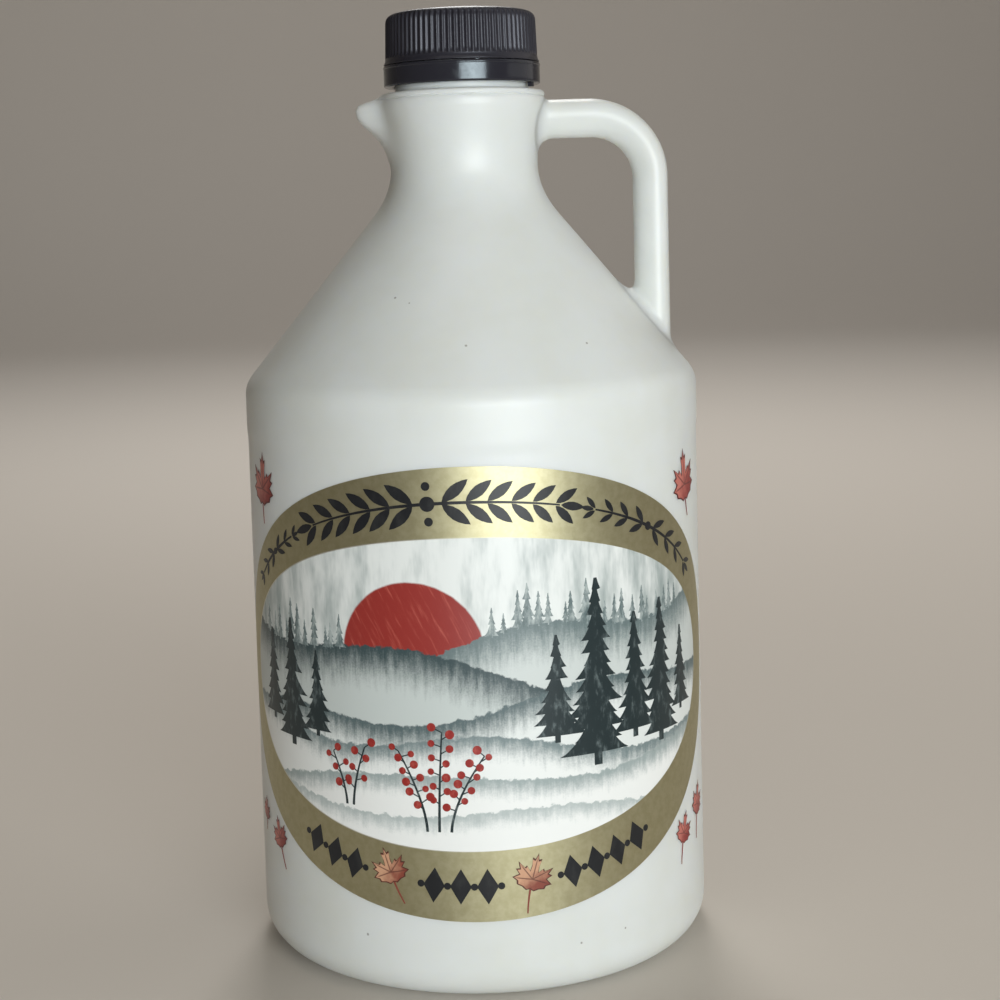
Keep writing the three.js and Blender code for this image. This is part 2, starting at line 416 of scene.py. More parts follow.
@dataclass(frozen=True)
class Oval:
    """A rounded oval on the unrolled wall: |x/a|^n + |z/b|^n = 1, in millimetres."""

    x: float
    z: float
    half_width: float
    half_height: float
    power: float

    def rim(self, count: int) -> Points:
        """Points round the oval."""
        angle = np.linspace(0, 2 * np.pi, count, endpoint=False)
        cosine, sine = np.cos(angle), np.sin(angle)
        x = np.sign(cosine) * np.abs(cosine) ** (2 / self.power) * self.half_width
        z = np.sign(sine) * np.abs(sine) ** (2 / self.power) * self.half_height
        return points_of(self.x + x, self.z + z)

    def rise(self, x: Any) -> Any:
        """Height of the edge over the oval's middle at x, 0 outside it."""
        share = np.abs((x - self.x) / self.half_width) ** self.power
        return self.half_height * np.maximum(0, 1 - share) ** (1 / self.power)

    def depth(self, x: Wire, z: Wire) -> Wire:
        """Below 1 inside the oval, 1 on its edge."""
        across = abs((x - self.x) / self.half_width) ** self.power
        return across + abs((z - self.z) / self.half_height) ** self.power


FILM = Oval(-1.37, 78.0, 83.3, 56.5, 2.03)
PICTURE = Oval(-1.84, 78.2, 74.8, 38.9, 2.11)
SHEET = 100.0  # millimetres to one unit of the Sheet map


@dataclass(frozen=True)
class Hill:
    """One rolling hill of the printed picture: its crest line, its swell and how it fades downwards."""

    crest: float
    slope: float
    swell: float
    wave: float
    phase: float
    top: tuple[float, float, float]
    foot: tuple[float, float, float]
    fade: float

    def crest_at(self, x: Any) -> Any:
        """Height of the crest, for a number or a wire: base + slope * x + swell * sin(wave * x + phase)."""
        angle = x * self.wave + self.phase
        wave = angle.sine() if isinstance(angle, Wire) else math.sin(angle)
        return (x - PICTURE.x) * self.slope + wave * self.swell + (PICTURE.z + self.crest)


HILLS = (
    Hill(12.0, 0.13, 3.6, 0.080, 0.6, srgb(104, 120, 121), srgb(206, 212, 209), 12.0),
    Hill(5.5, -0.15, 3.6, 0.066, 2.6, srgb(58, 76, 79), srgb(200, 207, 204), 12.0),
    Hill(-3.5, 0.08, 3.0, 0.072, -0.5, srgb(86, 103, 105), srgb(228, 232, 229), 9.0),
    Hill(-12.5, -0.05, 2.6, 0.080, 1.4, srgb(120, 135, 136), srgb(238, 240, 237), 7.0),
    Hill(-21.0, 0.05, 2.2, 0.055, 3.0, srgb(156, 168, 167), srgb(241, 242, 239), 6.0),
    Hill(-29.5, -0.03, 1.6, 0.070, 0.2, srgb(182, 191, 189), srgb(242, 243, 240), 5.0),
)


@dataclass(frozen=True)
class Sun:
    """The low round sun of the printed picture, brushed in two reds."""

    x: float = -15.0
    z: float = 9.5
    radius: float = 18.5
    red: tuple[float, float, float] = srgb(150, 46, 40)
    light: tuple[float, float, float] = srgb(196, 98, 84)


@dataclass(frozen=True)
class PrintedFilm:
    """The label's print: a satin gold band round a winter picture of sky, sun and brushed hills."""

    gold: tuple[float, float, float] = srgb(187, 181, 148)
    gold_dark: tuple[float, float, float] = srgb(176, 169, 135)
    sky: tuple[float, float, float] = srgb(234, 237, 234)
    haze: tuple[float, float, float] = srgb(150, 162, 160)
    snow: tuple[float, float, float] = srgb(240, 241, 238)
    sun: Sun = Sun()

    def _picture(self, bench: Bench, x: Wire, z: Wire) -> Wire:
        """Colour of the picture: a washed sky, the sun, then each hill laid over them from back to front."""
        flat = bench.join(x, z)
        brush = bench.noise(bench.stretch(flat, (1.0, 0.12, 1.0)), 0.8, 5.0, 0.65)
        grain = bench.noise(flat, 2.2, 4.0, 0.7)
        cloud = bench.noise(bench.stretch(flat, (1.0, 0.3, 1.0)), 0.22, 3.0, 0.55)
        wash = (cloud - 0.5) * 1.6 + (brush - 0.5) * 0.5 + abs(x + 8) * 0.007
        colour = bench.blend(wash.step(-0.1, 0.9), self.sky, self.haze)
        ragged = (bench.noise(flat, 0.42, 4.0, 0.6) - 0.5) * 3.2
        sun = self.sun
        across, up = x - (PICTURE.x + sun.x), z - (PICTURE.z + sun.z)
        gap = (across * across + up * up) ** 0.5 + ragged * 0.12
        slant = bench.stretch(bench.join(across + up * 0.5, up - across * 0.5), (1.0, 0.1, 1.0))
        streak = bench.noise(slant, 0.75, 4.0, 0.6).step(0.5, 0.8)
        disc = bench.blend(streak, sun.red, sun.light)
        colour = bench.blend(gap.step(sun.radius + 0.3, sun.radius - 0.3), colour, disc)
        for hill in HILLS:
            below = hill.crest_at(x) + ragged - z
            tone = (below / hill.fade + (brush - 0.5) * 0.9 + (grain - 0.5) * 0.5).step(0.0, 1.0)
            body = bench.blend(tone, hill.top, hill.foot)
            colour = bench.blend(below.step(-0.15, 0.35), colour, body)
        return colour

    def material(self) -> bpy.types.Material:
        """Builds the finish."""
        bench = Bench("printed film")
        u, v = bench.sheet("Sheet")
        x, z = u * SHEET, v * SHEET
        place = bench.place()
        depth = PICTURE.depth(x, z)
        inside = depth.step(1.004, 0.996)
        key_line = depth.step(1.014, 1.009) * depth.step(0.998, 1.002)
        mottle = bench.noise(place, 520.0, 4.0, 0.65)
        gold = bench.blend(mottle.step(0.3, 0.7), self.gold_dark, self.gold)
        gold = bench.blend(key_line * x.step(10, -30) * 0.6, gold, self.snow)
        colour = bench.blend(inside, gold, self._picture(bench, x, z))
        bench.set(Base_Color=colour, Metallic=(1 - inside) * 0.92)
        bench.set(Roughness=0.45 - inside * 0.04 + (mottle - 0.5) * 0.10, IOR=1.5)
        bench.set(Normal=bench.bump(mottle, 0.04, 0.0001))
        return bench.material


@dataclass(frozen=True)
class Ink:
    """Flat printing ink, a little uneven where it is thin."""

    title: str
    colour: tuple[float, float, float]
    thin: tuple[float, float, float]
    scale: float = 500.0
    spread: tuple[float, float] = (0.45, 0.75)

    def material(self) -> bpy.types.Material:
        """Builds the finish."""
        bench = Bench(self.title)
        place = bench.place()
        patch = bench.noise(bench.stretch(place, (1.0, 1.0, 0.45)), self.scale, 5.0, 0.65)
        bench.set(Base_Color=bench.blend(patch.step(*self.spread), self.colour, self.thin))
        bench.set(Roughness=0.38 + (patch - 0.5) * 0.2, IOR=1.45)
        return bench.material


@dataclass(frozen=True)
class LeafInk:
    """Leaf print: light at its upper left, dark at its lower right, with fine veins and a dark outline."""

    title: str
    light: tuple[float, float, float]
    dark: tuple[float, float, float]
    line: tuple[float, float, float]
    ribs: tuple[float, ...] = (0.0, 52.0, 96.0)

    def material(self) -> bpy.types.Material:
        """Builds the finish. The Blade map holds the place on the leaf, Edge the way from heart to edge."""
        bench = Bench(self.title)
        across, up = bench.sheet("Blade")
        out = bench.sheet("Edge")[0]
        patch = bench.noise(bench.place(), 420.0, 4.0, 0.6)
        shade = (across * 0.9 - up * 0.75 + (patch - 0.5) * 1.1).step(-0.5, 0.55)
        colour = bench.blend(shade, self.light, self.dark)
        side = abs(across)
        nearest: Any = 1.0
        for rib in self.ribs:
            angle = math.radians(rib)
            away = abs(side * math.cos(angle) - up * math.sin(angle))
            along = side * math.sin(angle) + up * math.cos(angle)
            nearest = (away + along.step(0.0, -0.05)).least(nearest)
        vein = nearest.step(0.035, 0.01) * out.step(1.0, 0.6)
        edge = out.step(0.87, 0.93)
        colour = bench.blend((vein * 0.75).most(edge), colour, self.line)
        bench.set(Base_Color=colour, Roughness=0.4 + (patch - 0.5) * 0.15, IOR=1.45)
        return bench.material


# The jug

@dataclass
class JugShell:
    """The blow-moulded jug: turned body, ring handle and pouring lug, as one piece."""

    panel: float = 60.45
    bumper: float = 60.7
    base_round: float = 9.7
    ring_in: float = 45.0
    push_up: float = 3.4
    panel_top: float = 135.5
    bumper_low: float = 141.0
    bumper_high: float = 148.4
    shoulder: float = 151.4
    cone_low: float = 153.9
    cone_end: float = 25.0
    slope: float = 0.825
    waist: tuple[float, float] = (19.65, 208.0)
    neck: tuple[float, float] = (22.05, 223.0)
    groove: tuple[float, float] = (21.65, 225.8)
    collar: tuple[float, float] = (22.0, 227.4)
    stub: tuple[float, float] = (17.9, 241.0)
    seam_height: float = 0.05
    seam_width: float = 0.34
    arm_z: float = 219.7
    limb_x: float = 49.75
    bend: float = 16.0
    half_width: float = 4.65
    half_depth: float = 5.7
    arm_swell: float = 0.5
    egg: float = 0.22
    arm_fillet: float = 3.4
    arm_fillet_top_less: float = 2.5
    arm_fillet_low_more: float = 0.8
    limb_fillet: float = 4.5
    limb_fillet_outer_less: float = 2.1
    collar_gap: float = 0.9
    bumper_gap: float = 0.7
    section_points: int = 56
    root_rows: int = 14
    lug_side: tuple[tuple[float, float], ...] = (
        (205.5, 0.0), (207.0, 0.02), (208.5, 0.2), (210.1, 0.62), (211.8, 1.05), (213.4, 1.55), (215.1, 2.35),
        (216.8, 3.4), (218.4, 4.9), (219.3, 5.65), (220.1, 6.15), (221.1, 6.6), (222.0, 6.72), (222.8, 6.66),
        (223.6, 6.5), (224.3, 6.15), (224.8, 5.5), (225.2, 4.6), (225.6, 3.4), (226.0, 2.1), (226.4, 0.9),
        (226.8, 0.2), (227.1, 0.0),
    )
    lug_half_depth: float = 4.3
    specks: tuple[Speck, ...] = (
        Speck(-26.1, 174.6, 0.42),
        Speck(-20.2, 173.3, 0.28),
        Speck(-1.0, 163.0, 0.42),
        Speck(34.2, 162.2, 0.42),
        Speck(-29.5, 16.2, 0.45),
        Speck(22.9, 13.6, 0.38),
        Speck(35.4, 14.6, 0.36),
    )

    def cone_radius(self, z: float) -> float:
        """Radius of the cone at a height."""
        return self.bumper - self.slope * (z - self.shoulder)

    def cone_height(self, radius: float) -> float:
        """Height where the cone has a radius."""
        return self.shoulder + (self.bumper - radius) / self.slope

    def outline(self) -> Points:
        """The profile from the middle of the base, round the outside, to the middle of the mouth."""
        panel, bumper, lift, ring = self.panel, self.bumper, self.push_up, self.ring_in
        turn = panel - self.base_round
        waist_r, waist_z = self.waist
        neck_r, neck_z = self.neck
        groove_r, groove_z = self.groove
        rim, rim_z = self.collar
        stub, mouth_z = self.stub
        cone_head = self.cone_height(self.cone_end)
        pen = Pen(0, lift)
        pen.to(4, (8, lift))
        pen.to(20, (ring - 6, lift), (ring - 1.2, 0.5))
        pen.to(5, (ring - 0.4, 0), (ring + 1, 0))
        pen.to(4, (turn, 0))
        pen.arc(26, (turn, self.base_round), self.base_round, -90, 0)
        pen.to(14, (panel, self.panel_top))
        pen.to(8, (panel, 138), (bumper, 138.5), (bumper, self.bumper_low))
        pen.to(4, (bumper, self.bumper_high))
        pen.to(18, (bumper, self.shoulder), (self.cone_radius(self.cone_low), self.cone_low))
        pen.to(16, (self.cone_end, cone_head))
        pen.to(22, (waist_r, self.cone_height(waist_r)), (waist_r, waist_z))
        pen.to(56, (waist_r, waist_z + 6), (neck_r - 1, neck_z - 5), (neck_r, neck_z))
        pen.to(10, (neck_r + 0.3, groove_z - 0.9), (groove_r + 0.25, groove_z - 0.25))
        pen.to(2, (groove_r, groove_z))
        pen.to(2, (rim - 0.1, groove_z + 0.25))
        pen.to(10, (rim + 0.12, rim_z - 0.1), (rim - 1.2, rim_z))
        pen.to(3, (stub + 0.6, rim_z + 0.05))
        pen.to(4, (stub, rim_z + 0.1), (stub, rim_z + 0.7))
        pen.to(5, (stub, mouth_z))
        pen.to(6, (0, mouth_z))
        return pen.points()

    def _outside(self) -> tuple[np.ndarray, np.ndarray]:
        """Heights and radii of the outer wall, from the standing ring up to the collar."""
        profile = self.outline()
        first = int(np.argmax(profile[:, 0] > self.panel - self.base_round + 0.1))
        last = int(np.argmax(profile[:, 1] > self.collar[1] - 0.3))
        return profile[first:last, 1], profile[first:last, 0]

    def radius_at(self, z: np.ndarray) -> np.ndarray:
        """Outer radius at each height."""
        heights, radii = self._outside()
        return np.interp(z, heights, radii)

    def height_at(self, radius: np.ndarray) -> np.ndarray:
        """Height on the shoulder and cone where the jug has each radius."""
        heights, radii = self._outside()
        sloped = (heights > 148) & (heights < self.waist[1])
        return np.interp(-radius, -radii[sloped], heights[sloped])

    def _lug_push(self, y: np.ndarray, z: np.ndarray) -> np.ndarray:
        """How far the pouring lug stands out from the neck: reach(z) * exp(-|y / a(z)|^2.2).

        Args:
            y: distance from the plane of the handle in millimetres.
            z: height in millimetres.

        Returns:
            The way along -X in millimetres. The half-depth a grows below the tip, towards the neck.
        """
        # The points of lug_side are joined by straight lines, which a narrow bell curve then softens
        step, blur = 0.05, 0.32
        levels = np.arange(204, 229, step)
        keys = np.array(self.lug_side)
        window = np.exp(-((np.arange(-20, 21) * step / blur) ** 2))
        reach = np.convolve(np.interp(levels, keys[:, 0], keys[:, 1]), window / window.sum(), "same")
        half = self.lug_half_depth * (1 + 0.05 * np.clip(222.5 - z, 0, 20))
        return np.interp(z, levels, reach) * np.exp(-(np.abs(y / half) ** 2.2))

    def _body(self, stock: Stock) -> None:
        """The turned body, with the lug drawn out of its neck and a fine mould seam in the handle's plane.

        The seam's height falls as exp(-(d / width)^2) with the distance d from that plane.
        """
        profile = self.outline()
        # The columns of points stand closer together at the seam and at the lug
        near = np.radians([0.1, 0.2, 0.3, 0.45, 0.6, 0.8, 1.05, 1.35, 1.7, 2.2, 2.8])
        plain = np.radians(np.arange(0, 360, 1.5))
        lug = np.radians(np.arange(147.75, 213, 1.5))
        close = np.concatenate([near, -near, np.pi + near, np.pi - near]) % (2 * np.pi)
        angles = np.unique(np.round(np.concatenate([plain, lug, close]), 6))
        away = profile[:, :1] * np.abs(np.sin(angles))
        seam = np.exp(-((away / self.seam_width) ** 2)) * self.seam_height
        seam = seam * ((profile[:, 1:] < self.groove[1] - 1.5) & (profile[:, :1] > 3))
        points, faces = lathe(profile, angles, seam)
        x, y, z = points.T / MM
        outer = (x < 0) & (np.hypot(x, y) > self.stub[0] + 0.7)
        points[:, 0] -= np.where(outer, self._lug_push(y, z), 0) * MM
        stock.add(points, faces)

    def _section(self, count: int) -> tuple[np.ndarray, np.ndarray]:
        """The handle's egg-shaped section: across = cos a + egg sin^2 a, deep = sin a."""
        angle = np.linspace(0, 2 * np.pi, count, endpoint=False)
        return np.cos(angle) + self.egg * np.sin(angle) ** 2, np.sin(angle)

    def _root(self, start: Points, crossing: Points, landed: Points) -> Points:
        """A fillet: a Bezier curve for each point of the section, kept on or above the jug's wall.

        Args:
            start: where the curve leaves the tube.
            crossing: where the tube would meet the wall.
            landed: where the curve ends on the wall.

        Returns:
            The rows of points in millimetres, the first on the tube.
        """
        t = np.linspace(0, 1, self.root_rows)[:, None, None]
        curve = (1 - t) ** 2 * start + 2 * t * (1 - t) * crossing + t**2 * landed
        radius = np.hypot(curve[..., 0], curve[..., 1])
        wall = self.radius_at(curve[..., 2]) + 0.015 * (1 - 3 * t[..., 0] ** 8)
        grow = np.maximum(1.0, wall / radius)
        return np.concatenate([curve[..., :2] * grow[..., None], curve[..., 2:]], -1)

    def _outward(self, across: np.ndarray, deep: np.ndarray, half: float) -> tuple[np.ndarray, np.ndarray]:
        """The unit way out of the handle's section at each of its points.

        Args:
            across: place of the points across the section, as a share of its half-width.
            deep: their place from front to back, as a share of its half-depth.
            half: the half-width in millimetres.

        Returns:
            The way's parts across and deep.
        """
        wide, far = across / half, deep / self.half_depth
        return wide / np.hypot(wide, far), far / np.hypot(wide, far)

    def _arm(self, across: np.ndarray, deep: np.ndarray) -> list[Points]:
        """The handle's level arm: its fillet on the neck, then the rows out to the bend.

        Args:
            across: the section's height, as a share of its half-width.
            deep: its place from front to back, as a share of its half-depth.

        Returns:
            Rows of points in millimetres, from the neck outwards.
        """
        half, y = self.half_width + self.arm_swell, self.half_depth * deep
        z = self.arm_z + half * across
        less = np.where(across > 0, self.arm_fillet_top_less, self.arm_fillet_low_more)
        reach = self.arm_fillet - less * across
        out_z, out_y = self._outward(across, deep, half)
        meet_x = np.sqrt(self.radius_at(z) ** 2 - y**2)
        land_y = y + reach * out_y
        land_z = np.minimum(z + reach * out_z, self.collar[1] - self.collar_gap)
        landed = points_of(np.sqrt(self.radius_at(land_z) ** 2 - land_y**2), land_y, land_z)
        start_x = meet_x + reach
        root = self._root(points_of(start_x, y, z), points_of(meet_x, y, z), landed)[::-1]
        t = np.linspace(0, 1, 8)[1:-1, None]
        return [root, points_of(start_x * (1 - t) + (self.limb_x - self.bend) * t, y, z)]

    def _turn(self, across: np.ndarray, deep: np.ndarray) -> Points:
        """The handle's quarter bend: bend + half(a) across, turned from upright to level."""
        a = np.linspace(0, np.pi / 2, 40)[:, None]
        arm_half = self.half_width + self.arm_swell
        half = arm_half + (self.half_width - arm_half) * (a / (np.pi / 2))
        spread = self.bend + half * across
        x, z = self.limb_x - self.bend + spread * np.sin(a), self.arm_z - self.bend + spread * np.cos(a)
        return points_of(x, self.half_depth * deep, z)

    def _limb(self, across: np.ndarray, deep: np.ndarray) -> list[Points]:
        """The handle's upright limb: the rows down from the bend, then its fillet on the cone.

        Args:
            across: the section's way out from the axis, as a share of its half-width.
            deep: its place from front to back, as a share of its half-depth.

        Returns:
            Rows of points in millimetres, from the bend downwards.
        """
        x, y = self.limb_x + self.half_width * across, self.half_depth * deep
        meet_z = self.height_at(np.hypot(x, y))
        out_x, out_y = self._outward(across, deep, self.half_width)
        reach = self.limb_fillet - self.limb_fillet_outer_less * across
        foot_x, foot_y = x + reach * out_x, y + reach * out_y
        foot_r = np.minimum(np.hypot(foot_x, foot_y), self.bumper - self.bumper_gap)
        scale = foot_r / np.hypot(foot_x, foot_y)
        landed = points_of(foot_x * scale, foot_y * scale, self.height_at(foot_r))
        end_z = meet_z + reach
        root = self._root(points_of(x, y, end_z), points_of(x, y, meet_z), landed)
        t = np.linspace(0, 1, 16)[1:-1, None]
        return [points_of(x, y, (self.arm_z - self.bend) * (1 - t) + end_z * t), root]

    def _handle(self, stock: Stock) -> None:
        """The ring handle: an egg section carried along arm, bend and limb, with a fillet at each root."""
        ways = self._section(self.section_points)
        rows = np.concatenate([*self._arm(*ways), self._turn(*ways), *self._limb(*ways)])
        stock.add(rows.reshape(-1, 3) * MM, [ring_grid(len(rows), self.section_points)[:, ::-1]])

    def build(self) -> bpy.types.Object:
        """Makes the jug and lets it stand for its CAD solid.

        Returns:
            The piece.
        """
        stock = Stock()
        self._body(stock)
        self._handle(stock)
        specks = [(speck, float(self.radius_at(np.array(speck.height)))) for speck in self.specks]
        jug = stock.build("jug_shell", MilkPlastic().material(specks), 50)
        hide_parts("jug")
        return jug


# The cap and its tamper ring

@dataclass
class ScrewCap:
    """The ribbed cap: upright ribs between a flared skirt and a rounded top edge."""

    ribs: int = 80
    rib_radius: float = 20.02
    taper: float = 0.28
    rib_depth: float = 0.42
    rib_low: float = 236.5
    rib_high: float = 247.7
    skirt_low: float = 234.8
    skirt_radius: float = 20.8
    edge: float = 2.2
    bore: float = 18.4

    def build(self) -> bpy.types.Object:
        """Makes the cap. A rib is a narrow crest: its height is depth times |cos(ribs a / 2)| cubed.

        Returns:
            The piece.
        """
        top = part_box("screw_cap")[1][2] / MM
        bore, skirt, low, rib = self.bore, self.skirt_radius, self.skirt_low, self.rib_low
        r, wide, edge = self.rib_radius, self.rib_radius + self.taper, self.edge
        pen = Pen(0, top - edge)
        pen.to(4, (bore - 0.8, top - edge))
        pen.to(4, (bore, top - edge), (bore, top - 3))
        pen.to(4, (bore, low + 0.3))
        pen.to(3, (bore, low), (bore + 0.3, low))
        pen.to(3, (skirt - 0.25, low))
        pen.to(4, (skirt, low), (skirt - 0.02, low + 0.3))
        pen.to(8, (wide + 0.08, rib - 0.8), (wide + 0.02, rib - 0.25))
        pen.to(5, (wide, rib - 0.05), (wide, rib + 0.25))
        pen.to(16, (r, top - edge - 0.2))
        pen.to(18, (r - 0.12, top - 0.3), (r - edge, top))
        pen.to(2, (r - edge - 0.6, top - 0.02))
        pen.to(10, (0, top - 0.08))
        profile = pen.points()
        angles = np.linspace(0, 2 * np.pi, self.ribs * 12, endpoint=False)
        valley = 1 - np.abs(np.cos(angles * self.ribs / 2)) ** 3
        height, radius = profile[:, 1:], profile[:, :1]
        start = np.clip((height - rib) / 0.5, 0, 1)
        stop = np.clip((self.rib_high - height) / 0.9, 0, 1)
        outside = radius > bore + 0.5
        points, faces = lathe(profile, angles, -self.rib_depth * valley * start * stop * outside)
        stock = Stock()
        stock.add(points, faces)
        cap = stock.build("ribbed_cap", BlackPlastic("cap plastic", roughness=0.34).material(), 60)
        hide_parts("screw_cap")
        return cap


@dataclass
class TamperRing:
    """The smooth band under the cap, with its lip, small bridges up to the cap and one tab below."""

    low: float = 229.1
    high: float = 234.62
    radius: float = 20.9
    inner: float = 18.4
    bridges: int = 12
    first_bridge: float = 12.0
    bridge_width: float = 0.8
    tab_turn: float = 66.5
    tab_width: float = 1.6
    tab_drop: float = 1.1

    def _block(
        self, stock: Stock, turn: float, width: float, low: Sequence[float], high: Sequence[float]
    ) -> None:
        """Adds a small block of a ring.

        Args:
            stock: where it goes.
            turn: angle from the front in degrees.
            width: its width along the ring in millimetres.
            low: radius and height of its inner low edge.
            high: radius and height of its outer high edge.
        """
        count = 5
        angle = (math.radians(turn - 90) + np.linspace(-0.5, 0.5, count) * width / high[0])[:, None]
        r, z = np.array([low, (high[0], low[1]), high, (low[0], high[1])]).T
        points = points_of(r * np.cos(angle), r * np.sin(angle), z).reshape(-1, 3)
        ends = np.array([[0, 1, 2, 3], 4 * count - 1 - np.arange(4)])
        stock.add(points * MM, [ring_grid(count, 4)[:, ::-1], ends])

    def build(self) -> bpy.types.Object:
        """Makes the ring: a closed section turned about the upright axis, then the tab and the bridges.

        Returns:
            The piece.
        """
        r, inner, low, high = self.radius, self.inner, self.low, self.high
        pen = Pen(inner, low + 0.4)
        pen.to(2, (inner + 0.3, low))
        pen.to(3, (r - 0.6, low))
        pen.to(6, (r - 0.08, low), (r - 0.05, low + 0.55))
        pen.to(6, (r - 0.05, high - 0.95))
        pen.to(4, (r - 0.05, high - 0.75), (r + 0.08, high - 0.7))
        pen.to(6, (r + 0.12, high - 0.05), (r - 0.25, high))
        pen.to(4, (inner, high))
        pen.to(5, (inner, low + 0.4))
        points, faces = lathe(pen.points(closed=True), np.linspace(0, 2 * np.pi, 256, endpoint=False))
        stock = Stock()
        stock.add(points, faces)
        tab = (inner + 0.8, low - self.tab_drop), (r - 0.6, low + 0.3)
        self._block(stock, self.tab_turn, self.tab_width, *tab)
        bridge = (r - 1.8, high - 0.1), (r - 0.9, high + 0.3)
        for k in range(self.bridges):
            self._block(stock, self.first_bridge + 360 * k / self.bridges, self.bridge_width, *bridge)
        scuff, sheen = srgb(46, 46, 50), (0.84, 0.95, 1.0)
        glossy = BlackPlastic("ring plastic", scuff=scuff, roughness=0.155, sheen=sheen)
        ring = stock.build("tamper_band", glossy.material(), 35)
        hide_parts("tamper_ring")
        return ring


# The printed label

INK_DEEP = 0.04  # thickness of a printed patch in millimetres


def turned(degrees: float) -> np.ndarray:
    """The matrix that leans flat points to the right, when their rows stand before it."""
    angle = math.radians(degrees)
    return np.array([[math.cos(angle), -math.sin(angle)], [math.sin(angle), math.cos(angle)]])


def lean_of(heading: Points) -> float:
    """How far a flat direction leans to the right of upright, in degrees."""
    return math.degrees(math.atan2(heading[0], heading[1]))


def headings(path: Points) -> tuple[Points, Points]:
    """Unit vectors along a flat path, and the same turned a quarter to the left."""
    along = np.gradient(path, axis=0)
    along /= np.linalg.norm(along, axis=1)[:, None]
    return along, points_of(-along[:, 1], along[:, 0])


def between(first: Points, last: Points, count: int, end: bool = True) -> Points:
    """Points spread evenly from each point of a row to its fellow in another: first (1 - t) + last t."""
    t = np.linspace(0, 1, count, endpoint=end)[None, :, None]
    return first[:, None] * (1 - t) + last[:, None] * t


def halved(quads: Faces) -> Faces:
    """Two triangles for each quad."""
    return np.concatenate([quads[:, [0, 1, 2]], quads[:, [0, 2, 3]]])


class Motif(Enum):
    """Outlines of printed motifs: the right half from tip to foot, about the heart, for a height of one."""

    MAPLE = (
        (0.0, 0.62), (0.045, 0.47), (0.125, 0.50), (0.095, 0.33), (0.11, 0.18), (0.225, 0.29),
        (0.26, 0.235), (0.46, 0.345), (0.385, 0.19), (0.48, 0.165), (0.365, 0.06), (0.52, -0.04),
        (0.385, -0.10), (0.36, -0.18), (0.215, -0.21), (0.10, -0.275), (0.0, -0.235),
    )
    LAUREL = ((0.0, 0.5), (0.07, 0.36), (0.125, 0.18), (0.15, 0.0), (0.13, -0.2), (0.075, -0.38), (0.0, -0.5))
    LOZENGE = ((0.0, 0.5), (0.24, 0.0), (0.0, -0.5))

    def outline(self, size: float, lean: float, wide: float = 1.0) -> Points:
        """The motif's edge about its heart.

        Args:
            size: its height in millimetres.
            lean: how far it leans to the right, in degrees.
            wide: further factor on its width.

        Returns:
            Edge points, anticlockwise, with three to each stretch of the outline.
        """
        half = np.array(self.value) * (wide, 1.0)
        keys = np.concatenate([half * (-1, 1), half[-2:0:-1]])
        edge = between(keys, np.roll(keys, -1, axis=0), 3, end=False).reshape(-1, 2) * size
        return edge @ turned(lean)


